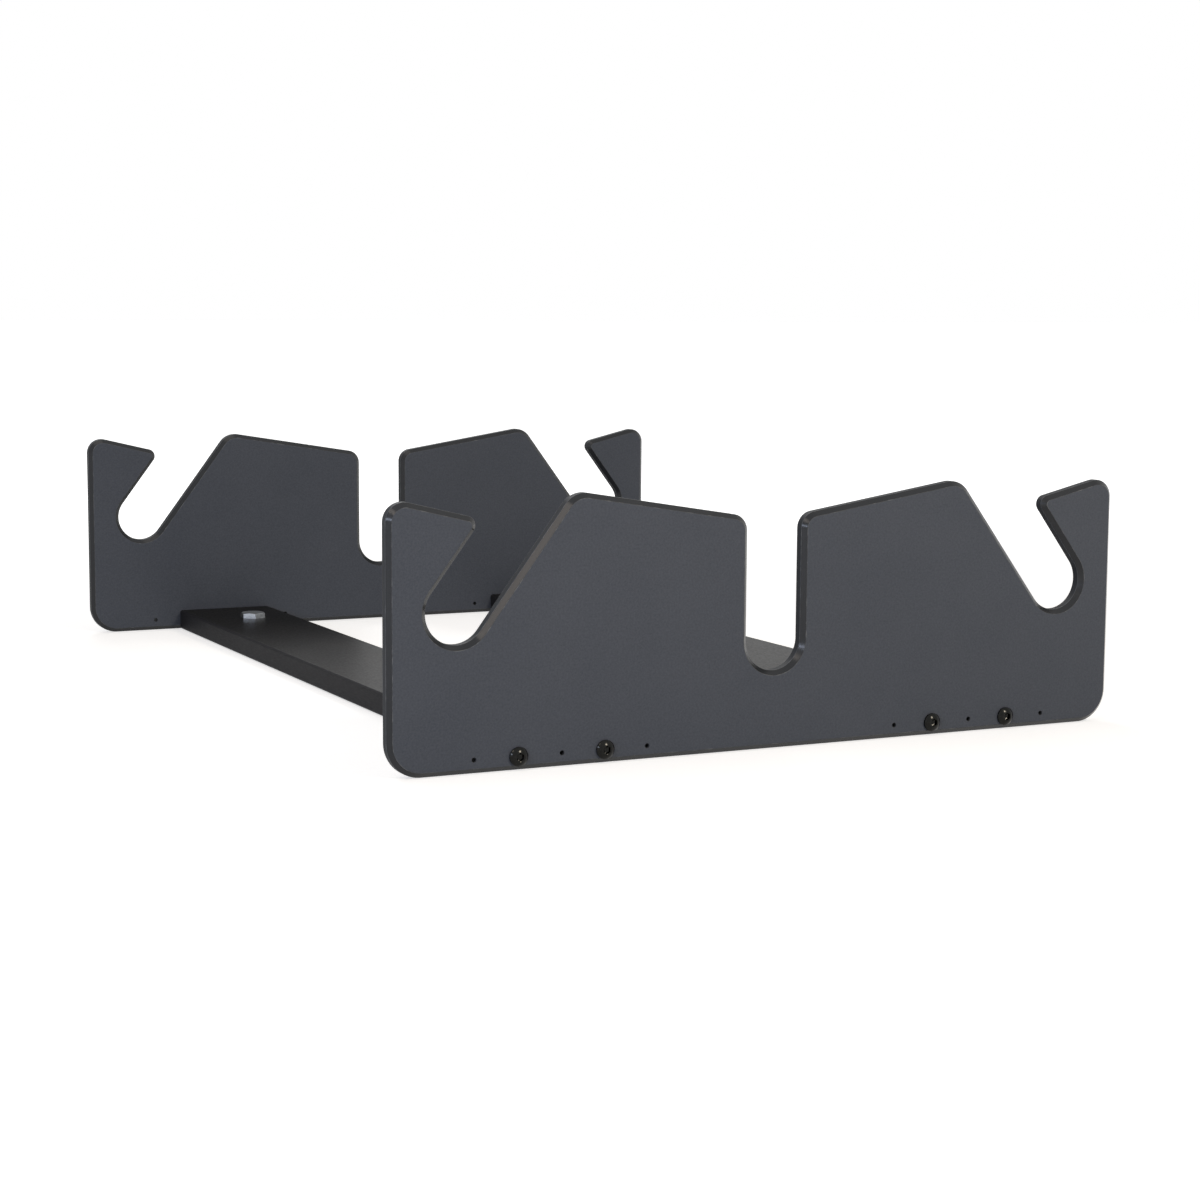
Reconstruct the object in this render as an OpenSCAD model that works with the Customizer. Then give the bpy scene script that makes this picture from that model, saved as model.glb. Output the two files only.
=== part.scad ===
// Ski rack stand: two notched plates stand on edge and are held apart by two flat crossbars.
// X runs along the plates, Y from the front plate to the rear plate, Z up.
// The origin is on the floor at the middle of the stand.

/* [Plates] */
// Width of each plate
plate_w = 457.2; // [440:0.1:500]
// Thickness of each plate
plate_t = 10; // [8:0.5:13]
// Overall depth, from the front plate's outer face to the rear plate's outer face
stand_depth = 622.3; // [450:0.1:800]
// Height of a plate at its outer ends, before the corner is rounded
end_h = 146.5; // [142:0.5:156]
// Slope of the top edge of each hook, down towards the slot's mouth
hook_slope = 13.5; // [8:0.5:16]
// Height of a crest beside the centre slot, before the corner is rounded
crest_h = 130; // [126:0.5:138]
// Slope of a crest, down towards the centre slot
crest_slope = 9.1; // [5:0.1:12]
// Width of the chamfer along both faces of the plates
plate_chamfer = 2.7; // [1:0.1:3.5]

/* [Slots] */
// Width of all three slots
slot_w = 34.3; // [28:0.1:38]
// Lean of the side slots from the horizontal
side_slot_lean = 53; // [48:1:58]
// Distance of a side slot's round bottom from the middle of the plate
side_slot_x = 189.7; // [186:0.1:192]
// Height of the centre of a side slot's round bottom
side_slot_z = 85.5; // [80:0.1:90]
// Height of the centre of the centre slot's round bottom
centre_slot_z = 60.9; // [45:0.1:80]

/* [Corners] */
// Radius of the bottom corners
foot_r = 19; // [8:0.5:24]
// Radius of the outer top corners
shoulder_r = 10.4; // [5:0.1:14]
// Radius of the hook's tip
tip_r = 5.2; // [4:0.1:7]
// Radius where a ramp meets its crest
crest_r = 14; // [6:0.5:20]
// Radius where a crest meets the centre slot
mouth_r = 9.5; // [5:0.5:14]

/* [Crossbars] */
// Distance of a crossbar's centre line from the middle of the stand
bar_x = 127.3; // [110:0.1:150]
// Width of a crossbar
bar_w = 69; // [66:0.5:76]
// Thickness of a crossbar
bar_t = 14; // [13:0.5:18]
// Chamfer along the crossbar's long edges
bar_chamfer = 1.2; // [0.4:0.1:2]

/* [Fasteners] */
// Distance of a row's middle hole from the middle of the plate
hole_x = 129.8; // [127:0.1:132]
// Height of the row of holes above the floor
hole_z = 7.5; // [6.5:0.1:9]
// Spacing of the holes along the row
hole_pitch = 25.4; // [24:0.1:27]
// Diameter of the small open holes
pilot_d = 2.4; // [1.5:0.1:3.5]
// Distance of the hexagon bolts from the middle of the stand, across it
bolt_x = 124.3; // [120:0.1:134]
// Distance of the hexagon bolts from the inner face of the nearest plate
bolt_inset = 61; // [40:1:120]

/* [Hidden] */
$fn = 72;
over = 0.6;                                  // how far a cutting shape runs past what it cuts
slack = 0.01;                                // arcs are this much large, so that they cross the straight edges cleanly
slot_overrun = 0.3;                          // how far an edge's chamfer runs on into a slot's round bottom
slot_r = slot_w / 2;
bar_len = stand_depth - 2 * plate_t;
fit_gap = 0.05;                              // radial clearance of a shaft in its hole

// Button head screw, M6, through the plate into the insert
screw_d = 6;
screw_len = 25;
screw_hole_d = 6.6;
button_d = 10.5;
button_h = 3.3;
button_rim = 0.3;
socket_af = 4;
socket_depth = 2.2;

// Threaded insert in the end of a crossbar
insert_d = 8.6;
insert_len = 16;

// Low hexagon bolt, M10, down through a crossbar, with its washer and nut in a round pocket
bolt_d = 10;
bolt_head_af = 16;
bolt_head_h = 3.8;
bolt_hole_d = 10.6;
bolt_turn = -6;                              // how far the hexagons are turned about their axes
pocket_d = 22;
pocket_depth = 7;
washer_d = 20;
washer_t = 1.6;
nut_h = 4.8;
bolt_end_z = 0.4;                            // the bolt stops this far above the floor

hdpe = "#4c5057";
black_oxide = "#1b1b1c";
brass = "#b3904f";
zinc = "#b4b7b9";

ends = ["front", "rear"];
sides = ["left", "right"];
places = ["outer", "inner"];

function unit(angle) = [cos(angle), sin(angle)];
function away(end) = end == "front" ? -1 : 1;      // which way is out at this end, along Y
function across(side) = side == "left" ? -1 : 1;   // which way is out on this side, along X

// A straight edge of the outline is [angle of its outward normal, distance from the origin].
function edge(angle, point) = [angle, unit(angle) * point];
function crossing(a, b) =
    [a[1] * sin(b[0]) - b[1] * sin(a[0]), b[1] * cos(a[0]) - a[1] * cos(b[0])] / sin(b[0] - a[0]);

// An arc of the outline is [centre, radius, first angle, last angle, 1 if it bulges or -1 if hollow].
function corner(a, b, r) = [crossing([a[0], a[1] - r], [b[0], b[1] - r]), r, a[0], b[0], 1];
function slot_bottom(centre, angle) = [centre, slot_r, angle, angle - 180, -1];
function flipped(arc) = [[-arc[0][0], arc[0][1]], arc[1], 180 - arc[3], 180 - arc[2], arc[4]];
function start_of(arc) = arc[0] + arc[1] * unit(arc[2]);
function end_of(arc) = arc[0] + arc[1] * unit(arc[3]);

// From an arc's centre to the sharp corner that it rounds off.
function to_corner(arc) =
    let (sum = unit(arc[2]) + unit(arc[3])) 2 * arc[1] * sum / (sum * sum);

// The right half of the plate's outline, from the bottom corner round to the centre slot.
ramp_angle = 90 - side_slot_lean;
side_slot = [side_slot_x, side_slot_z];
floor_edge = edge(-90, [0, 0]);
end_edge = edge(0, [plate_w / 2, 0]);
hook_edge = edge(90 + hook_slope, [plate_w / 2, end_h]);
hook_wall = edge(180 + ramp_angle, side_slot + slot_r * unit(ramp_angle));
ramp_wall = edge(ramp_angle, side_slot - slot_r * unit(ramp_angle));
crest_edge = edge(90 + crest_slope, [slot_r, crest_h]);
centre_wall = edge(180, [slot_r, 0]);
half_outline = [
    corner(floor_edge, end_edge, foot_r),
    corner(end_edge, hook_edge, shoulder_r),
    corner(hook_edge, hook_wall, tip_r),
    slot_bottom(side_slot, ramp_angle),
    corner(ramp_wall, crest_edge, crest_r),
    corner(crest_edge, centre_wall, mouth_r)
];
outline = concat(
    half_outline,
    [slot_bottom([0, centre_slot_z], 0)],
    [for (i = [len(half_outline) - 1 : -1 : 0]) flipped(half_outline[i])]
);

// The kite between a rounded corner's centre and the sharp corner, run on past the plate's edge.
module corner_kite(arc) {
    grow = (arc[1] + over) / arc[1];
    polygon(grow * [[0, 0], arc[1] * unit(arc[2]), to_corner(arc), arc[1] * unit(arc[3])]);
}

module plate_profile() {
    difference() {
        polygon([for (arc = outline) each
            arc[4] > 0 ? [arc[0] + to_corner(arc)] : [start_of(arc), end_of(arc)]]);
        for (arc = outline) translate(arc[0])
            if (arc[4] > 0) difference() {
                corner_kite(arc);
                circle(arc[1] + slack);
            } else circle(arc[1] + slack);
    }
}

// What the chamfer takes off round one arc of the outline, at the face z = 0.
module arc_chamfer(arc) {
    r = arc[1] + slack;
    grow = plate_chamfer + over;
    h = plate_chamfer + 2 * over;
    translate([arc[0][0], arc[0][1], -over])
        if (arc[4] > 0) difference() {
            linear_extrude(h) corner_kite(arc);
            translate([0, 0, -over]) cylinder(r1 = r - grow - over, r2 = r + 2 * over, h = h + 2 * over);
        } else cylinder(r1 = r + grow, r2 = r - over, h = h);
}

// The same along the straight edge between two arcs. It runs on into the arcs at both ends.
module edge_chamfer(from, to) {
    reach = plate_chamfer + over;
    start = end_of(from);
    step = start_of(to) - start;
    before = from[4] > 0 ? norm(to_corner(from)) : slot_overrun;
    after = to[4] > 0 ? norm(to_corner(to)) : slot_overrun;
    translate([start[0], start[1], 0]) rotate(atan2(step[1], step[0])) translate([-before, 0, 0])
        rotate([90, 0, 90]) linear_extrude(norm(step) + before + after)
            polygon([[reach, -over], [-over, -over], [-over, reach]]);
}

// The plate lies on z = 0 here, with its outline in the XY plane.
module plate_blank() {
    difference() {
        linear_extrude(plate_t) plate_profile();
        for (face = [0, 1], i = [0 : len(outline) - 1])
            translate([0, 0, face * plate_t]) mirror([0, 0, face]) {
                arc_chamfer(outline[i]);
                edge_chamfer(outline[i], outline[(i + 1) % len(outline)]);
            }
    }
}

module plate_hole(x, d) {
    translate([x, -1, hole_z]) rotate([-90, 0, 0]) cylinder(d = d, h = plate_t + 2);
}

module plate() {
    color(hdpe) difference() {
        translate([0, plate_t, 0]) rotate([90, 0, 0]) plate_blank();
        for (side = [-1, 1], i = [-2 : 2])
            plate_hole(side * (hole_x + i * hole_pitch), abs(i) == 1 ? screw_hole_d : pilot_d);
    }
}

module bar_profile() {
    x = bar_w / 2;
    c = bar_chamfer;
    polygon([[c - x, 0], [x - c, 0], [x, c], [x, bar_t - c], [x - c, bar_t], [c - x, bar_t], [-x, bar_t - c], [-x, c]]);
}

// The crossbar lies along Y with its underside on the floor.
module crossbar(side) {
    color(hdpe) difference() {
        translate([across(side) * bar_x, bar_len / 2, 0]) rotate([90, 0, 0]) linear_extrude(bar_len) bar_profile();
        for (end = ends) {
            for (place = places) at_screw(end, side, place, plate_t + insert_len)
                cylinder(d = insert_d + 2 * fit_gap, h = insert_len);
            at_bolt(end, side) {
                translate([0, 0, -1]) cylinder(d = bolt_hole_d, h = bar_t + 2);
                translate([0, 0, -1]) cylinder(d = pocket_d, h = pocket_depth + 1);
            }
        }
    }
}

module hexagon(af, h) {
    cylinder(d = af / cos(30), h = h, $fn = 6);
}

// The screw's head sits on z = 0 with the shank below it.
module button_screw() {
    rise = button_h - button_rim;
    dome_r = (pow(button_d / 2, 2) + pow(rise, 2)) / (2 * rise);
    shank_d = screw_d - 2 * fit_gap;
    color(black_oxide) difference() {
        union() {
            intersection() {
                cylinder(d = button_d, h = button_h);
                translate([0, 0, button_h - dome_r]) sphere(r = dome_r);
            }
            translate([0, 0, 1 - screw_len]) cylinder(d = shank_d, h = screw_len);
            translate([0, 0, -screw_len]) cylinder(d1 = shank_d - 2, d2 = shank_d, h = 1);
        }
        translate([0, 0, button_h - socket_depth]) hexagon(socket_af, socket_depth + 1);
    }
}

// The insert's mouth is at z = 0, flush with the end of the crossbar, and it reaches down.
module threaded_insert() {
    color(brass) translate([0, 0, -insert_len]) difference() {
        cylinder(d = insert_d, h = insert_len);
        translate([0, 0, -1]) cylinder(d = screw_d, h = insert_len + 2);
    }
}

// A hexagon whose top corners are cut back by a cone, as on a bolt head or a nut.
module chamfered_hexagon(af, h) {
    intersection() {
        hexagon(af, h);
        cylinder(r1 = af / 2 + h * 1.7, r2 = af / 2 - 0.1, h = h);
    }
}

module hex_bolt() {
    color(zinc) {
        translate([0, 0, bar_t]) rotate(bolt_turn) chamfered_hexagon(bolt_head_af, bolt_head_h);
        translate([0, 0, bolt_end_z + 1]) cylinder(d = bolt_d - 2 * fit_gap, h = bar_t - bolt_end_z - 0.9);
        translate([0, 0, bolt_end_z]) cylinder(d1 = bolt_d - 2, d2 = bolt_d - 2 * fit_gap, h = 1);
    }
}

module washer() {
    color(zinc) translate([0, 0, pocket_depth - washer_t]) difference() {
        cylinder(d = washer_d, h = washer_t);
        translate([0, 0, -1]) cylinder(d = bolt_hole_d, h = washer_t + 2);
    }
}

module hex_nut() {
    color(zinc) translate([0, 0, pocket_depth - washer_t]) rotate([180, 0, bolt_turn]) difference() {
        chamfered_hexagon(bolt_head_af, nut_h);
        translate([0, 0, -1]) cylinder(d = bolt_d, h = nut_h + 2);
    }
}

module at_end(end) {
    translate([0, (away(end) * (stand_depth - plate_t) - plate_t) / 2, 0]) children();
}

// Puts z = 0 at a depth under the plate's outer face, on a screw's axis, with z pointing out.
module at_screw(end, side, place, depth) {
    x = across(side) * (hole_x + (place == "outer" ? hole_pitch : -hole_pitch));
    translate([x, away(end) * (stand_depth / 2 - depth), hole_z]) rotate([-away(end) * 90, 0, 0]) children();
}

module at_bolt(end, side) {
    translate([across(side) * bolt_x, away(end) * (bar_len / 2 - bolt_inset), 0]) children();
}

at_end("front") plate();  // front_plate
at_end("rear") plate();  // rear_plate
crossbar("left");  // left_crossbar
crossbar("right");  // right_crossbar
for (end = ends, side = sides) {
    for (place = places) {
        seat = str(end, "_", side, "_", place);
        at_screw(end, side, place, 0) button_screw();
        at_screw(end, side, place, plate_t) threaded_insert();
    }
    spot = str(end, "_", side);
    at_bolt(end, side) hex_bolt();
    at_bolt(end, side) washer();
    at_bolt(end, side) hex_nut();
}
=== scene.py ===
import math

import bmesh
import bpy
from mathutils import Matrix, Vector


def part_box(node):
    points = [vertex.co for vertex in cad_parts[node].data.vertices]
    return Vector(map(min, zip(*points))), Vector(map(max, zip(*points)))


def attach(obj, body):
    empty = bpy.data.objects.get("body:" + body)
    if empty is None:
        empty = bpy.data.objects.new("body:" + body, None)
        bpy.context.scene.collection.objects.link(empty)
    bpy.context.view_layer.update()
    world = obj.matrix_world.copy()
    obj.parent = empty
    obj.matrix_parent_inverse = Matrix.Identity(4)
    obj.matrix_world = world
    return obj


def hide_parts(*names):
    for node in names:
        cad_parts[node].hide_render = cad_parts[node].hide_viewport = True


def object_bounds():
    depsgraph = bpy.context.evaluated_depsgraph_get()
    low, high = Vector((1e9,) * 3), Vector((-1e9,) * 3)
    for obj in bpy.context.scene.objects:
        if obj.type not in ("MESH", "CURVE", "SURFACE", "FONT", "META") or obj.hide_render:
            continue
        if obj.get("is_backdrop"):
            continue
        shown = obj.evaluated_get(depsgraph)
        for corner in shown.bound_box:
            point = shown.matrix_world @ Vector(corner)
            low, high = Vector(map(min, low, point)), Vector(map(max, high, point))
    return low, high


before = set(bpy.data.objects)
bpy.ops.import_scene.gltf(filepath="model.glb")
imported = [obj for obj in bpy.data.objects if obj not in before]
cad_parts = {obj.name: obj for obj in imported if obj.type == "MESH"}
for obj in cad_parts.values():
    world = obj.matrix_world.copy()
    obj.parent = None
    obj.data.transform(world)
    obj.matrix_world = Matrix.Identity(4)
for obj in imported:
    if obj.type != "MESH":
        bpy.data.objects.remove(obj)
cadLow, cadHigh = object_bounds()

mm = 0.001
ends = {"front": -1, "rear": 1}       # which way a plate's outside looks along Y
sides = {"left": -1, "right": 1}      # which half of a plate, along X
places = ("outer", "inner")           # the two screws at a crossbar's end


# Material nodes

noise = {"cloudDetail": 2, "grainDetail": 3, "roughness": 0.6}


def hexColour(text):
    # An sRGB hex colour as linear channels, with full alpha
    channels = [int(text[i:i + 2], 16) / 255 for i in (1, 3, 5)]
    return [c / 12.92 if c <= 0.04045 else ((c + 0.055) / 1.055) ** 2.4 for c in channels] + [1]


def setInputs(tree, node, inputs):
    for name, value in inputs.items():
        if isinstance(value, bpy.types.NodeSocket):
            tree.links.new(value, node.inputs[name])
        else:
            node.inputs[name].default_value = value


def addNode(tree, kind, inputs, **settings):
    node = tree.nodes.new(kind)
    for name, value in settings.items():
        setattr(node, name, value)
    setInputs(tree, node, inputs)
    return node


def newMaterial(name):
    material = bpy.data.materials.new(name)
    material.use_nodes = True
    tree = material.node_tree
    return material, tree, tree.nodes["Principled BSDF"]


def makeFinish(name, finish):
    # Broad clouds and a fine grain take the colour from dark to light.
    # The grain sets the roughness and the relief too.
    material, tree, shader = newMaterial(name)
    place = addNode(tree, "ShaderNodeTexCoord", {}).outputs["Object"]
    patterns = []
    for size, stretch, detail in (
            (finish["cloudSize"], (1, 1, 1), noise["cloudDetail"]),
            (finish["grainSize"], finish["stretch"], noise["grainDetail"])):
        scaled = addNode(tree, "ShaderNodeMapping", {
            "Vector": place, "Scale": [1 / (size * s) for s in stretch]})
        patterns.append(addNode(tree, "ShaderNodeTexNoise", {
            "Vector": scaled.outputs["Vector"], "Scale": 1, "Detail": detail,
            "Roughness": noise["roughness"]}).outputs["Fac"])
    cloud, grain = patterns
    share = finish["cloudShare"]
    ranges = []
    for pattern, low, high in ((cloud, 0, share), (grain, 0, 1 - share), (grain, *finish["roughness"])):
        ranges.append(addNode(tree, "ShaderNodeMapRange", {
            "Value": pattern, "From Min": finish["contrast"][0], "From Max": finish["contrast"][1],
            "To Min": low, "To Max": high}).outputs["Result"])
    blend = addNode(tree, "ShaderNodeMath", {0: ranges[0], 1: ranges[1]}, operation="ADD")
    # A mix of colours takes them at sockets 6 and 7 and gives its result at output 2
    colour = addNode(tree, "ShaderNodeMix", {
        0: blend.outputs[0], 6: hexColour(finish["dark"]), 7: hexColour(finish["light"])},
        data_type="RGBA").outputs[2]
    bump = addNode(tree, "ShaderNodeBump", {
        "Height": grain, "Strength": finish["bumpStrength"], "Distance": finish["bumpHeight"]})
    setInputs(tree, shader, {
        "Base Color": colour, "Roughness": ranges[2], "Normal": bump.outputs["Normal"],
        **finish["shader"]})
    return material


# HDPE (polyethylene) sheet, extruded and lightly embossed: a fine matte grain with a weak broad sheen
sheet = {
    "dark": "#3b4049", "light": "#4b4f57", "cloudSize": 70 * mm, "cloudShare": 0.25,
    "grainSize": 1.1 * mm, "stretch": (1, 1, 1), "contrast": (0.3, 0.7), "roughness": (0.42, 0.58),
    "bumpHeight": 0.04 * mm, "bumpStrength": 0.5, "shader": {"IOR": 1.54, "Specular IOR Level": 0.22},
}

# Its chamfers, where a bevel cutter ran along the edges: plain, and burnished enough for small glints
# The colour is drawn much darker than the sheet's: painted shade for the dark bands along the edges.
chamferedPaintedShade = {
    "dark": "#242629", "light": "#2c2e31", "cloudSize": 50 * mm, "cloudShare": 0.5,
    "grainSize": 0.6 * mm, "stretch": (1, 40, 1), "contrast": (0.3, 0.7), "roughness": (0.15, 0.25),
    "bumpHeight": 0.02 * mm, "bumpStrength": 0.1, "shader": {"IOR": 1.54, "Specular IOR Level": 0.2},
}

# Its walls, where a straight cutter went through: dull, with fine marks from face to face.
# The marks are drawn coarser than real ones, so that they show.
# The colour is drawn darker than the sheet's: painted shade on the walls.
routedPaintedShade = {
    "dark": "#323437", "light": "#3e4043", "cloudSize": 50 * mm, "cloudShare": 0.5,
    "grainSize": 0.6 * mm, "stretch": (1, 40, 1), "contrast": (0.3, 0.7), "roughness": (0.40, 0.50),
    "bumpHeight": 0.02 * mm, "bumpStrength": 0.35, "shader": {"IOR": 1.54, "Specular IOR Level": 0.02},
}

# The fine burr along a chamfer: polyethylene that the cutter whitened, in a broken line of pale specks.
# The specks are partly that whitening and partly painted glints, drawn longer than real ones so that they
# show.
burrAndPaintedGlints = {
    "dark": "#484b4f", "light": "#6e7173", "cloudSize": 50 * mm, "cloudShare": 0,
    "grainSize": 5 * mm, "stretch": (1, 1, 1), "contrast": (0.5, 0.75), "roughness": (0.4, 0.45),
    "bumpHeight": 0.02 * mm, "bumpStrength": 0.2, "shader": {"IOR": 1.54, "Specular IOR Level": 0.1},
}

# Black HDPE, which the crossbars are cut from: a smooth skin with a faint shine at low angles
blackSkin = {
    "dark": "#0b0b0b", "light": "#161514", "cloudSize": 45 * mm, "cloudShare": 0.6,
    "grainSize": 1.1 * mm, "stretch": (1, 3, 1), "contrast": (0.3, 0.7), "roughness": (0.32, 0.42),
    "bumpHeight": 0.03 * mm, "bumpStrength": 0.12, "shader": {"IOR": 1.54, "Specular IOR Level": 0.04},
}

# Its edges and holes, sawn, planed or drilled: greyer and rougher than the skin
blackSawn = {
    "dark": "#1c1c1f", "light": "#252527", "cloudSize": 45 * mm, "cloudShare": 0.4,
    "grainSize": 0.7 * mm, "stretch": (1, 8, 1), "contrast": (0.3, 0.7), "roughness": (0.45, 0.60),
    "bumpHeight": 0.05 * mm, "bumpStrength": 0.4, "shader": {"IOR": 1.54, "Specular IOR Level": 0.04},
}

# Black oxide on steel, oiled: nearly black, with small hard highlights
oxide = {
    "dark": "#1d1d1d", "light": "#2c2c2a", "cloudSize": 5 * mm, "cloudShare": 0.3,
    "grainSize": 0.4 * mm, "stretch": (1, 1, 1), "contrast": (0.3, 0.7), "roughness": (0.15, 0.22),
    "bumpHeight": 0.01 * mm, "bumpStrength": 0.1, "shader": {"Metallic": 1},
}

# Bright zinc plate over forged steel: pale, faintly blotched and scuffed
zinc = {
    "dark": "#9fa2a4", "light": "#c3c6c8", "cloudSize": 2.5 * mm, "cloudShare": 0.8,
    "grainSize": 0.3 * mm, "stretch": (1, 1, 6), "contrast": (0.3, 0.7), "roughness": (0.28, 0.42),
    "bumpHeight": 0.02 * mm, "bumpStrength": 0.25, "shader": {"Metallic": 1},
}

# Turned brass, left bare: dull gold with fine turning rings
brass = {
    "dark": "#a8853f", "light": "#c09a52", "cloudSize": 4 * mm, "cloudShare": 0.2,
    "grainSize": 0.3 * mm, "stretch": (20, 1, 20), "contrast": (0.3, 0.7), "roughness": (0.25, 0.4),
    "bumpHeight": 0.01 * mm, "bumpStrength": 0.2, "shader": {"Metallic": 1},
}

hdpeSheet = makeFinish("hdpeSheet", sheet)
hdpeChamferedPaintedShade = makeFinish("hdpeChamferedPaintedShade", chamferedPaintedShade)
hdpeRoutedPaintedShade = makeFinish("hdpeRoutedPaintedShade", routedPaintedShade)
hdpeBurrAndPaintedGlints = makeFinish("hdpeBurrAndPaintedGlints", burrAndPaintedGlints)
blackHdpe = makeFinish("blackHdpe", blackSkin)
blackHdpeSawn = makeFinish("blackHdpeSawn", blackSawn)
blackOxide = makeFinish("blackOxideSteel", oxide)
zincPlate = makeFinish("zincPlate", zinc)
turnedBrass = makeFinish("turnedBrass", brass)
print("materials made")


# Mesh tools

facing = 0.999         # a face looks along an axis when their cosine is above this
standing = 0.01        # and stands along it when the cosine is below this
creaseAngle = 35       # degrees: the steps of an arc turn less, and the edges of a chamfer more
breakSteps = 2         # faces across a broken edge
tiny = 0.001 * mm      # points closer than this are the same


def vertsOf(geometry):
    return [item for item in geometry if isinstance(item, bmesh.types.BMVert)]


def edgesOf(parts):
    # The edges of faces, or the edges that meet at vertices, each once and always in the same order
    return list(dict.fromkeys(e for part in parts for e in (
        part.edges if isinstance(part, bmesh.types.BMFace) else part.link_edges)))


def bevelEdges(bm, edges, offset, segments=1):
    made = bmesh.ops.bevel(bm, geom=edges, offset=offset, offset_type="OFFSET", affect="EDGES",
                           segments=segments, profile=0.5, material=-1, clamp_overlap=False)
    return made["faces"]


def breakEdges(bm, width):
    # Takes the sharpness off every edge where the surface turns by more than creaseAngle
    bm.normal_update()
    creases = [e for e in bm.edges if e.is_manifold and e.calc_face_angle() > math.radians(creaseAngle)]
    return bevelEdges(bm, creases, width, breakSteps)


def turnTo(axis):
    # Turns what was made along Z to lie along axis
    return Vector((0, 0, 1)).rotation_difference(Vector(axis)).to_matrix().to_4x4()


def ring(bm, centre, axis, radius, segments):
    # A circle of edges round an axis
    made = bmesh.ops.create_circle(bm, cap_ends=False, radius=radius, segments=segments,
                                   matrix=Matrix.Translation(centre) @ turnTo(axis))
    return edgesOf(made["verts"])


def bore(bm, start, direction, rings, bottom=False, segments=32):
    # A round hole in a body, with walls in the body's second material.
    # rings is a list of (depth, radius), and the first and last loops of edges come back.
    start, direction = Vector(start), Vector(direction)
    loops = [ring(bm, start + direction * depth, direction, radius, segments) for depth, radius in rings]
    walls = []
    for first, second in zip(loops, loops[1:]):
        walls += bmesh.ops.bridge_loops(bm, edges=first + second)["faces"]
    if bottom:
        walls += bmesh.ops.contextual_create(bm, geom=loops[-1])["faces"]
    for face in walls:
        face.material_index = 1
    return loops[0], loops[-1]


def openFace(bm, normal, loops):
    # Cuts the rings in loops out of the largest flat face that looks along normal
    bm.normal_update()
    normal = Vector(normal)
    face = max((f for f in bm.faces if f.normal.dot(normal) > facing), key=lambda f: f.calc_area())
    border = list(face.edges)
    materialIndex = face.material_index
    bmesh.ops.delete(bm, geom=[face], context="FACES_ONLY")
    made = bmesh.ops.triangle_fill(bm, use_beauty=True, use_dissolve=False, normal=normal,
                                   edges=border + [e for loop in loops for e in loop])
    for item in made["geom"]:
        if isinstance(item, bmesh.types.BMFace):
            item.material_index = materialIndex


def middle(node):
    low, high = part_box(node)
    return (low + high) / 2


def addPiece(name, bm, materials, node, smoothAngle):
    bmesh.ops.recalc_face_normals(bm, faces=bm.faces)
    mesh = bpy.data.meshes.new(name)
    bm.to_mesh(mesh)
    bm.free()
    for material in materials:
        mesh.materials.append(material)
    mesh.shade_smooth()
    mesh.set_sharp_from_angle(angle=math.radians(smoothAngle))
    piece = bpy.data.objects.new(name, mesh)
    bpy.context.scene.collection.objects.link(piece)
    weighted = piece.modifiers.new("weightedNormals", "WEIGHTED_NORMAL")
    weighted.keep_sharp = True
    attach(piece, "root")
    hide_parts(node)


# Plates, in millimetres and degrees from the middle of the lower edge

plate = {
    "endHeight": 146.5, "hookSlope": 13.5,      # top of the hook at the plate's end, its fall inwards
    "crestHeight": 130, "crestSlope": 9.1,      # top beside the centre slot, its rise outwards
    "slotRadius": 17.15, "slotLean": 53,        # of all slots, and of the side ones from upright
    "sideSlot": (189.7, 85.5), "centreSlot": 60.9,      # middles of the slots' round ends
    "footRadius": 19, "shoulderRadius": 10.4, "tipRadius": 5.2, "crestRadius": 14, "mouthRadius": 9.5,
    "chamfer": 2.7, "edgeBreak": 0.2, "arcStep": 4, "smoothAngle": 50,
}
holeRow = {
    "height": 7.5, "centre": 129.8, "pitch": 25.4,
    "pilotRadius": 1.2, "screwRadius": 3.3, "rim": 0.2,
}
plateFinishes = [hdpeSheet, hdpeRoutedPaintedShade, hdpeChamferedPaintedShade, hdpeBurrAndPaintedGlints]


def unit(angle):
    return Vector((math.cos(math.radians(angle)), math.sin(math.radians(angle))))


def crossing(a, b):
    # Where two straight lines meet, each given by its normal's angle and its distance from the origin
    (angleA, distanceA), (angleB, distanceB) = a, b
    na, nb = unit(angleA), unit(angleB)
    det = na.x * nb.y - na.y * nb.x
    return Vector((distanceA * nb.y - distanceB * na.y, na.x * distanceB - nb.x * distanceA)) / det


def plateArcs(halfWidth):
    # The right half of the outline, anticlockwise, as arcs of (centre, radius, first angle, last angle)
    def line(angle, x, z):
        return angle, unit(angle).dot(Vector((x, z)))

    def corner(a, b, radius):
        return crossing((a[0], a[1] - radius), (b[0], b[1] - radius)), radius, a[0], b[0]

    radius = plate["slotRadius"]
    ramp = 90 - plate["slotLean"]
    slotCentre = Vector(plate["sideSlot"])
    bottom = line(-90, 0, 0)
    end = line(0, halfWidth, 0)
    hook = line(90 + plate["hookSlope"], halfWidth, plate["endHeight"])
    hookWall = line(180 + ramp, *(slotCentre + radius * unit(ramp)))
    rampWall = line(ramp, *(slotCentre - radius * unit(ramp)))
    crest = line(90 + plate["crestSlope"], radius, plate["crestHeight"])
    centreWall = line(180, radius, 0)
    return [
        corner(bottom, end, plate["footRadius"]),
        corner(end, hook, plate["shoulderRadius"]),
        corner(hook, hookWall, plate["tipRadius"]),
        (slotCentre, radius, ramp, ramp - 180),
        corner(rampWall, crest, plate["crestRadius"]),
        corner(crest, centreWall, plate["mouthRadius"]),
        (Vector((0, plate["centreSlot"])), radius, 0, -90),
    ]


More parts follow.
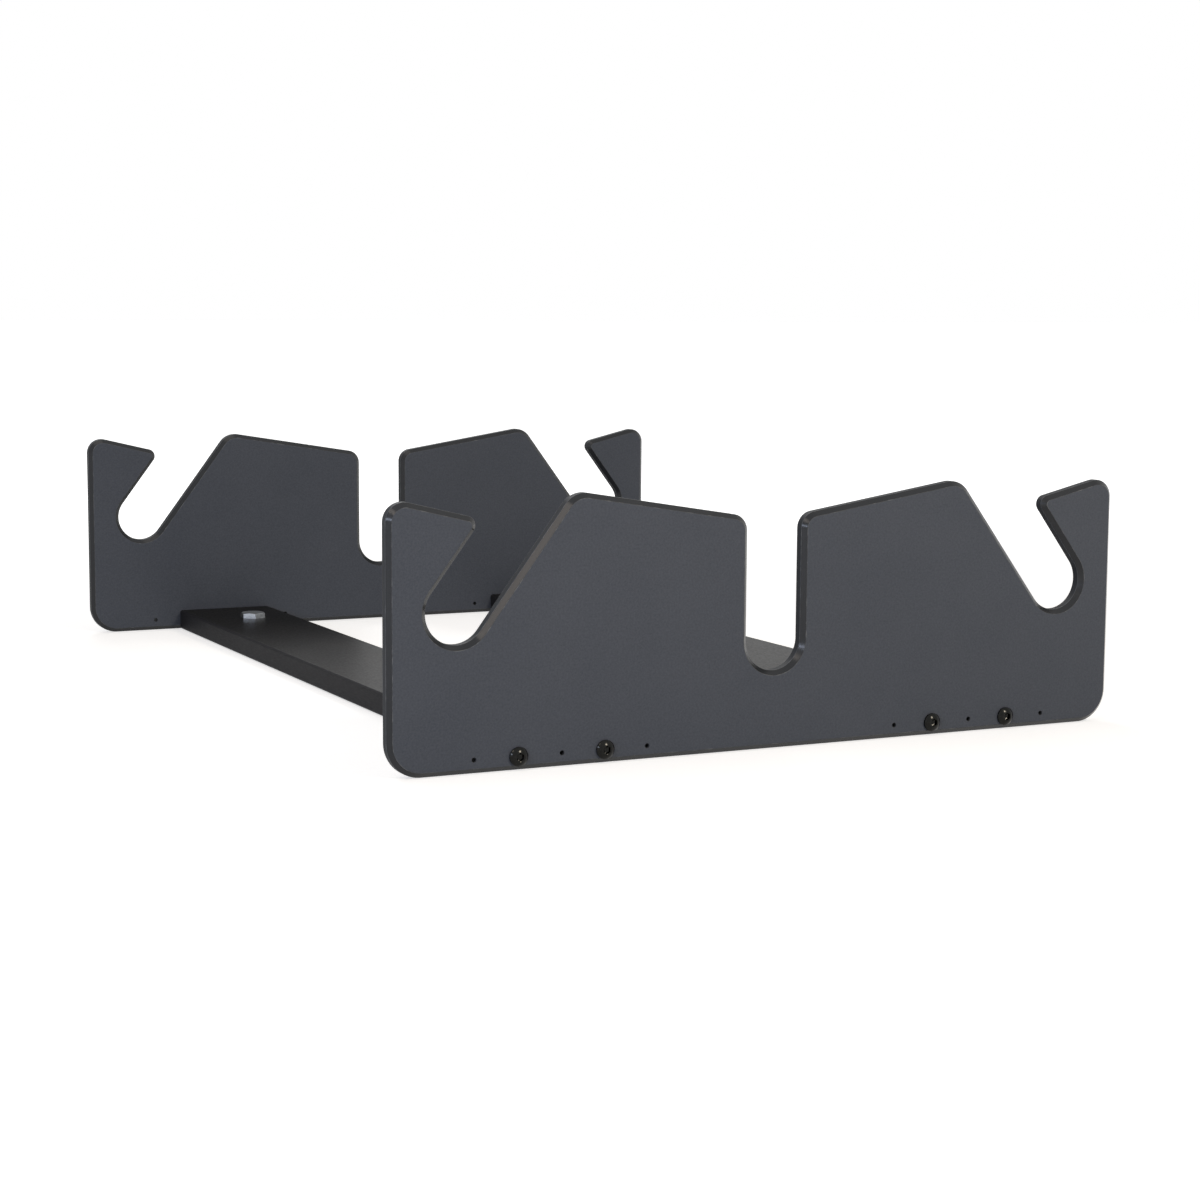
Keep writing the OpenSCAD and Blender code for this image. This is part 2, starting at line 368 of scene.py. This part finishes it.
def plateBlank(low, high):
    # Arcs joined by straight edges, mirrored, filled and given the sheet's thickness
    bm = bmesh.new()
    previous = first = None
    for centre, radius, angleA, angleB in plateArcs(high.x / mm):
        at = centre + radius * unit(angleA)
        start = bm.verts.new((at.x * mm, low.y, at.y * mm))
        steps = math.ceil(abs(angleB - angleA) / plate["arcStep"])
        made = bmesh.ops.spin(bm, geom=[start], cent=(centre.x * mm, low.y, centre.y * mm),
                              axis=(0, -1, 0), angle=math.radians(angleB - angleA), steps=steps,
                              use_merge=False)
        if previous:
            bm.edges.new((previous, start))
        first = first or start
        previous = vertsOf(made["geom_last"])[0]
    bmesh.ops.mirror(bm, geom=bm.verts[:] + bm.edges[:], axis="X", merge_dist=tiny)
    opposite = Vector((-first.co.x, first.co.y, first.co.z))
    bm.edges.new((first, min(bm.verts, key=lambda v: (v.co - opposite).length)))
    bmesh.ops.contextual_create(bm, geom=bm.edges[:])
    made = bmesh.ops.extrude_face_region(bm, geom=bm.faces[:])
    bmesh.ops.translate(bm, vec=(0, high.y - low.y, 0), verts=vertsOf(made["geom"]))
    bmesh.ops.recalc_face_normals(bm, faces=bm.faces)
    bm.normal_update()
    return bm


def finishPlate(bm, burrAndGlintFaces):
    # Sheet on both faces, routed walls and chamfers in colours darkened as painted shade, and the burr
    # with painted glints where they meet
    bm.normal_update()
    for face in bm.faces:
        cosine = abs(face.normal.y)
        if face in burrAndGlintFaces:
            finish = hdpeBurrAndPaintedGlints
        elif cosine > facing:
            finish = hdpeSheet
        elif cosine < standing:
            finish = hdpeRoutedPaintedShade
        else:
            finish = hdpeChamferedPaintedShade
        face.material_index = plateFinishes.index(finish)


def drillPlate(bm, near, thickness):
    # Two rows of five holes, the second and fourth of each row for screws
    rim = holeRow["rim"] * mm
    loops = []
    for side in sides.values():
        for i in range(-2, 3):
            x = side * (holeRow["centre"] + i * holeRow["pitch"]) * mm
            radius = (holeRow["screwRadius"] if abs(i) == 1 else holeRow["pilotRadius"]) * mm
            loops.append(bore(bm, (x, near, holeRow["height"] * mm), (0, 1, 0), [
                (0, radius + rim), (rim, radius), (thickness - rim, radius), (thickness, radius + rim)]))
    openFace(bm, (0, -1, 0), [first for first, last in loops])
    openFace(bm, (0, 1, 0), [last for first, last in loops])


def makePlate(end):
    node = f"{end}_plate"
    low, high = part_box(node)
    bm = plateBlank(low, high)
    caps = [f for f in bm.faces if abs(f.normal.y) > facing]
    bevelEdges(bm, edgesOf(caps), plate["chamfer"] * mm)
    # The broken edges take the burr finish, whose pale specks are partly painted glints
    burrAndGlintFaces = set(breakEdges(bm, plate["edgeBreak"] * mm))
    finishPlate(bm, burrAndGlintFaces)
    drillPlate(bm, low.y, high.y - low.y)
    addPiece(f"{end}Plate", bm, plateFinishes, node, plate["smoothAngle"])


for end in ends:
    makePlate(end)
print("plates made")


# Screws, bolts, washers and nuts are turned round Z, in millimetres

threadDepth = 0.54      # of the pitch, as on metric threads


def hexCorner(across):
    # Half a hexagon's width over its corners, from its width across flats
    return across / 2 / math.cos(math.pi / 6)


def hexagonLoop(bm, across, z, segments):
    # A hexagon of edges with as many points as the round loops that it is bridged to
    made = bmesh.ops.create_circle(bm, cap_ends=False, radius=hexCorner(across) * mm, segments=6,
                                   matrix=Matrix.Translation((0, 0, z * mm)))
    split = bmesh.ops.subdivide_edges(bm, edges=edgesOf(made["verts"]), cuts=segments // 6 - 1)
    return edgesOf(vertsOf(split["geom"]))


def spinProfile(bm, points, segments):
    # Turns a list of (radius, height) round the Z axis and returns the chain's first and last loops
    chain = [bm.verts.new((r * mm, 0, z * mm)) for r, z in points]
    edges = [bm.edges.new(pair) for pair in zip(chain, chain[1:])]
    bmesh.ops.spin(bm, geom=chain + edges, cent=(0, 0, 0), axis=(0, 0, 1), angle=2 * math.pi,
                   steps=segments, use_merge=True)
    loops = []
    for r, z in (points[0], points[-1]):
        loops.append([e for e in bm.edges if e.is_boundary and all(
            abs(v.co.z - z * mm) < tiny and abs(v.co.to_2d().length - r * mm) < tiny for v in e.verts)])
    return loops


def threadProfile(radius, low, high, pitch):
    # The crests and roots of a thread, as rings from low to high
    count = int((high - low) / pitch)
    points = []
    for i in range(count):
        points += [(radius, low + i * pitch), (radius - threadDepth * pitch, low + (i + 0.5) * pitch)]
    return points + [(radius, low + count * pitch)]


# Button head screws

screw = {
    "headRadius": 5.25, "headHeight": 3.3, "headRim": 1.1,      # the dome stands on a low upright rim
    "headBreak": 0.15, "rimLoop": 0.1, "domeRings": 8,          # rimLoop keeps the dome's edge crisp
    "length": 25, "shankRadius": 2.95, "pitch": 1, "tipChamfer": 1, "plainNeck": 2, "neckFlare": 0.2,
    "socketAcross": 4, "socketDepth": 2.2, "socketRim": 0.3, "socketFall": 0.18, "drillPoint": 1.2,
    "segments": 48, "smoothAngle": 35,
}


def headProfile():
    radius, height, rim = screw["headRadius"], screw["headHeight"], screw["headRim"]
    rise = height - rim
    domeRadius = (radius ** 2 + rise ** 2) / (2 * rise)
    mouth = hexCorner(screw["socketAcross"]) + screw["socketRim"]
    edge = screw["headBreak"]
    points = [(radius - edge, 0), (radius, edge), (radius, rim - screw["rimLoop"])]
    for i in range(screw["domeRings"] + 1):
        r = radius + (mouth - radius) * i / screw["domeRings"]
        points.append((r, height - domeRadius + math.sqrt(domeRadius ** 2 - r ** 2)))
    return points


def sinkSocket(bm, mouthLoop, top):
    # The hexagon socket below the dome's open mouth, with the drill's point at its bottom
    hexTop = hexagonLoop(bm, screw["socketAcross"], top - screw["socketFall"], screw["segments"])
    bmesh.ops.bridge_loops(bm, edges=mouthLoop + hexTop)
    made = bmesh.ops.extrude_edge_only(bm, edges=hexTop)
    floorVerts = vertsOf(made["geom"])
    bmesh.ops.translate(bm, vec=(0, 0, -screw["socketDepth"] * mm), verts=floorVerts)
    floorEdges = [e for e in edgesOf(floorVerts) if all(v in floorVerts for v in e.verts)]
    bottom = bmesh.ops.contextual_create(bm, geom=floorEdges)["faces"]
    poked = bmesh.ops.poke(bm, faces=bottom)
    bmesh.ops.translate(bm, vec=(0, 0, -screw["drillPoint"] * mm), verts=poked["verts"])


def makeScrew(seat, outward):
    # seat is the middle of the head's underside
    bm = bmesh.new()
    tip, shank, flare = -screw["length"], screw["shankRadius"], screw["neckFlare"]
    tipChamfer = screw["tipChamfer"]
    thread = threadProfile(shank, tip + tipChamfer, -screw["plainNeck"], screw["pitch"])
    head = headProfile()
    profile = [(shank - tipChamfer, tip)] + thread + [(shank, -flare), (shank + flare, 0)] + head
    tipLoop, mouthLoop = spinProfile(bm, profile, screw["segments"])
    bmesh.ops.contextual_create(bm, geom=tipLoop)
    sinkSocket(bm, mouthLoop, head[-1][1])
    bmesh.ops.transform(bm, matrix=Matrix.Translation(seat) @ turnTo(outward), verts=bm.verts)
    return bm


for end, out in ends.items():
    plateLow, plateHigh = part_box(f"{end}_plate")
    faceY = plateLow.y if out < 0 else plateHigh.y
    for side in sides:
        for place in places:
            node = f"{end}_{side}_{place}_screw"
            centre = middle(node)
            bm = makeScrew((centre.x, faceY, centre.z), (0, out, 0))
            addPiece(node.replace("_", "."), bm, [blackOxide], node,
                     screw["smoothAngle"])
print("screws made")


# Hexagon bolts, washers and nuts

bolt = {
    "across": 16, "headHeight": 3.8, "radius": 4.95, "pitch": 1.5, "tipChamfer": 1, "plainNeck": 2,
    "crownInset": 0.1, "crownSlope": 30, "turn": -6, "segments": 48, "smoothAngle": 35,
}
washer = {"radius": 10, "hole": 5.3, "edgeBreak": 0.2}
nut = {"across": 16, "hole": 5, "holeBreak": 0.6}


def chamferedHexagon(bm, across, base, crownZ):
    # The side walls and chamfer of a bolt head or nut. The chamfer is at crownZ, above or below the base.
    segments = bolt["segments"]
    crownRadius = across / 2 - bolt["crownInset"]
    slope = math.copysign(math.tan(math.radians(bolt["crownSlope"])), crownZ - base)
    baseLoop = hexagonLoop(bm, across, base, segments)
    shoulder = hexagonLoop(bm, across, crownZ, segments)
    for v in {v for e in shoulder for v in e.verts}:
        v.co.z -= (v.co.to_2d().length - crownRadius * mm) * slope
    crown = ring(bm, (0, 0, crownZ * mm), (0, 0, 1), crownRadius * mm, segments)
    bmesh.ops.bridge_loops(bm, edges=baseLoop + shoulder)
    bmesh.ops.bridge_loops(bm, edges=shoulder + crown)
    return baseLoop, crown


def makeBolt(tip, seat):
    # seat is the height of the head's underside
    bm = bmesh.new()
    baseLoop, crown = chamferedHexagon(bm, bolt["across"], seat, seat + bolt["headHeight"])
    bmesh.ops.contextual_create(bm, geom=crown)
    shank, tipChamfer = bolt["radius"], bolt["tipChamfer"]
    thread = threadProfile(shank, tip + tipChamfer, seat - bolt["plainNeck"], bolt["pitch"])
    profile = [(shank - tipChamfer, tip)] + thread + [(shank, seat)]
    tipLoop, neck = spinProfile(bm, profile, bolt["segments"])
    bmesh.ops.contextual_create(bm, geom=tipLoop)
    bmesh.ops.bridge_loops(bm, edges=baseLoop + neck)
    return bm


def makeWasher(low, high):
    bm = bmesh.new()
    edge, outer, inner = washer["edgeBreak"], washer["radius"], washer["hole"]
    profile = [(inner, low + edge), (inner + edge, low), (outer - edge, low), (outer, low + edge),
               (outer, high - edge), (outer - edge, high), (inner + edge, high), (inner, high - edge)]
    first, last = spinProfile(bm, profile, bolt["segments"])
    bmesh.ops.bridge_loops(bm, edges=first + last)
    return bm


def makeNut(low, high):
    bm = bmesh.new()
    baseLoop, crown = chamferedHexagon(bm, nut["across"], high, low)
    hole, edge = nut["hole"], nut["holeBreak"]
    profile = [(hole + edge, high), (hole, high - edge), (hole, low + edge), (hole + edge, low)]
    topLoop, bottomLoop = spinProfile(bm, profile, bolt["segments"])
    bmesh.ops.bridge_loops(bm, edges=baseLoop + topLoop)
    bmesh.ops.bridge_loops(bm, edges=crown + bottomLoop)
    return bm


turned = Matrix.Rotation(math.radians(bolt["turn"]), 4, "Z")
for end in ends:
    for side in sides:
        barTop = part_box(f"{side}_crossbar")[1].z
        for kind, make in (("bolt", makeBolt), ("washer", makeWasher), ("nut", makeNut)):
            node = f"{end}_{side}_{kind}"
            low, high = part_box(node)
            bm = make(low.z / mm, (barTop if kind == "bolt" else high.z) / mm)
            centre = middle(node)
            placed = Matrix.Translation((centre.x, centre.y, 0)) @ turned
            bmesh.ops.transform(bm, matrix=placed, verts=bm.verts)
            addPiece(node.replace("_", "."), bm, [zincPlate], node,
                     bolt["smoothAngle"])
print("bolts made")


# Crossbars, in millimetres

crossbar = {
    "chamfer": 1.2, "edgeBreak": 0.2, "rim": 0.2, "insertRadius": 4.35, "insertDepth": 16,
    "boltRadius": 5.3, "pocketRadius": 11, "pocketDepth": 7, "segments": 48, "smoothAngle": 50,
}
barFinishes = [blackHdpe, blackHdpeSawn]


def drillForBolts(bm, side, low, high):
    # A hole for each hexagon bolt, wider below for its washer and nut
    rim, depth = crossbar["rim"] * mm, crossbar["pocketDepth"] * mm
    pocket, hole = crossbar["pocketRadius"] * mm, crossbar["boltRadius"] * mm
    height = high.z - low.z
    loops = []
    for end in ends:
        centre = middle(f"{end}_{side}_bolt")
        loops.append(bore(bm, (centre.x, centre.y, low.z), (0, 0, 1), [
            (0, pocket + rim), (rim, pocket), (depth, pocket), (depth, hole),
            (height - rim, hole), (height, hole + rim)], segments=crossbar["segments"]))
    openFace(bm, (0, 0, 1), [last for first, last in loops])
    openFace(bm, (0, 0, -1), [first for first, last in loops])


def drillForInserts(bm, side, low, high):
    # Two blind holes in each end of the bar
    rim, hole = crossbar["rim"] * mm, crossbar["insertRadius"] * mm
    for end, out in ends.items():
        mouths = []
        for place in places:
            centre = middle(f"{end}_{side}_{place}_insert")
            start = (centre.x, high.y if out > 0 else low.y, centre.z)
            mouths.append(bore(bm, start, (0, -out, 0), [
                (0, hole + rim), (rim, hole), (crossbar["insertDepth"] * mm, hole)], bottom=True)[0])
        openFace(bm, (0, out, 0), mouths)


def makeCrossbar(side):
    node = f"{side}_crossbar"
    low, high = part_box(node)
    size = high - low
    bm = bmesh.new()
    placed = Matrix.Translation(middle(node)) @ Matrix.Diagonal((*size, 1))
    bmesh.ops.create_cube(bm, size=1, matrix=placed)
    longEdges = [e for e in bm.edges if abs(e.verts[0].co.y - e.verts[1].co.y) > size.y / 2]
    bevelEdges(bm, longEdges, crossbar["chamfer"] * mm)
    breakEdges(bm, crossbar["edgeBreak"] * mm)
    drillForInserts(bm, side, low, high)
    drillForBolts(bm, side, low, high)
    bm.normal_update()
    for face in bm.faces:
        finish = blackHdpe if abs(face.normal.z) > facing else blackHdpeSawn
        face.material_index = barFinishes.index(finish)
    addPiece(f"{side}Crossbar", bm, barFinishes, node, crossbar["smoothAngle"])


for side in sides:
    makeCrossbar(side)
print("crossbars made")

# The threaded inserts stay as the solids have them, since the crossbars hide them
for end in ends:
    for side in sides:
        for place in places:
            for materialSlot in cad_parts[f"{end}_{side}_{place}_insert"].material_slots:
                materialSlot.material = turnedBrass


# Floor, light and camera, in metres, watts and degrees

stage = {
    "floorSize": 60, "floorGap": 0.0002, "floor": "#d8d8d8", "floorRoughness": 0.9, "floorSpecular": 0.1,
    "glowNear": 0.56, "glowFar": 1, "glowRange": (0.5, 1.6),      # the floor fades to white far off
    "world": 0.22,
}
lamps = {
    # Gives the screw heads their highlight
    "keyLamp": {"place": (0.4, -1.5, 0.95), "target": (0, -0.1, 0.05), "size": (0.3, 0.3),
                "power": 11, "colour": "#fff2e0"},
    # Low at the left, for the glints on the chamfers' round corners
    "stripLamp": {"place": (-1.26, -0.9, 0.38), "target": (-0.1, -0.3, 0.13), "size": (0.7, 0.16),
                  "power": 5, "colour": "#dbe6ff"},
    # Warms the left ramp and its chamfer
    "leftLamp": {"place": (-1.1, -0.95, 1.2), "target": (-0.1, -0.3, 0.1), "size": (0.6, 0.6),
                 "power": 3.8, "colour": "#fff2e6"},
    # A soft light from above
    "topLamp": {"place": (-0.5, 0.1, 1.7), "target": (0, -0.1, 0.05), "size": (1.4, 1.4),
                "power": 6, "colour": "#fff6ec"},
    # From behind, for the plates' rear faces
    "backLamp": {"place": (0.2, 1.9, 1.5), "target": (0, 0, 0.05), "size": (1.2, 1.2),
                 "power": 14, "colour": "#ffffff"},
}
view = {
    "place": (-0.66211, -1.44981, 0.24396), "turn": (82.996, -0.342, -25.911),
    "lens": 71.944, "sensor": 36, "clip": (0.01, 100),
}


def seenByEye(tree):
    # 1 for rays that show the surroundings, straight or by reflection, and 0 for other light
    path = addNode(tree, "ShaderNodeLightPath", {})
    eye = addNode(tree, "ShaderNodeMath", {
        0: path.outputs["Is Camera Ray"], 1: path.outputs["Is Glossy Ray"]}, operation="MAXIMUM")
    return addNode(tree, "ShaderNodeMath", {
        0: eye.outputs[0], 1: path.outputs["Is Transmission Ray"]}, operation="MAXIMUM").outputs[0]


def makeFloor():
    bm = bmesh.new()
    bmesh.ops.create_grid(bm, x_segments=1, y_segments=1, size=stage["floorSize"] / 2)
    mesh = bpy.data.meshes.new("floor")
    bm.to_mesh(mesh)
    bm.free()
    floor = bpy.data.objects.new("floor", mesh)
    floor.location.z = cadLow.z - stage["floorGap"]
    bpy.context.scene.collection.objects.link(floor)
    material, tree, shader = newMaterial("paleFloor")
    place = addNode(tree, "ShaderNodeTexCoord", {}).outputs["Object"]
    distance = addNode(tree, "ShaderNodeVectorMath", {0: place}, operation="LENGTH").outputs["Value"]
    fade = addNode(tree, "ShaderNodeMapRange", {
        "Value": distance, "From Min": stage["glowRange"][0], "From Max": stage["glowRange"][1],
        "To Min": stage["glowNear"], "To Max": stage["glowFar"]}, interpolation_type="SMOOTHSTEP")
    glow = addNode(tree, "ShaderNodeMath", {
        0: seenByEye(tree), 1: fade.outputs["Result"]}, operation="MULTIPLY")
    setInputs(tree, shader, {
        "Base Color": hexColour(stage["floor"]), "Roughness": stage["floorRoughness"],
        "Specular IOR Level": stage["floorSpecular"],
        "Emission Color": (1, 1, 1, 1), "Emission Strength": glow.outputs[0],
    })
    floor.data.materials.append(material)
    floor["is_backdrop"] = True


def makeWorld():
    world = bpy.data.worlds.new("studio")
    bpy.context.scene.world = world
    world.use_nodes = True
    tree = world.node_tree
    background = tree.nodes["Background"]
    strength = addNode(tree, "ShaderNodeMapRange", {
        "Value": seenByEye(tree), "To Min": stage["world"], "To Max": 1})
    setInputs(tree, background, {"Color": (1, 1, 1, 1), "Strength": strength.outputs["Result"]})


def addLamp(name, place, target, size, power, colour):
    light = bpy.data.lights.new(name, "AREA")
    light.shape = "ELLIPSE"
    light.size, light.size_y = size
    light.energy = power
    light.color = hexColour(colour)[:3]
    lamp = bpy.data.objects.new(name, light)
    lamp.location = place
    lamp.rotation_euler = (Vector(target) - Vector(place)).to_track_quat("-Z", "Y").to_euler()
    bpy.context.scene.collection.objects.link(lamp)


def makeCamera():
    camera = bpy.data.objects.new("camera", bpy.data.cameras.new("camera"))
    camera.data.sensor_width = view["sensor"]
    camera.data.lens = view["lens"]
    camera.data.clip_start, camera.data.clip_end = view["clip"]
    camera.location = view["place"]
    camera.rotation_euler = [math.radians(a) for a in view["turn"]]
    bpy.context.scene.collection.objects.link(camera)
    bpy.context.scene.camera = camera


makeFloor()
makeWorld()
for name, settings in lamps.items():
    addLamp(name, **settings)
makeCamera()
bpy.context.scene.view_settings.view_transform = "Standard"

low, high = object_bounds()
print("scene made")
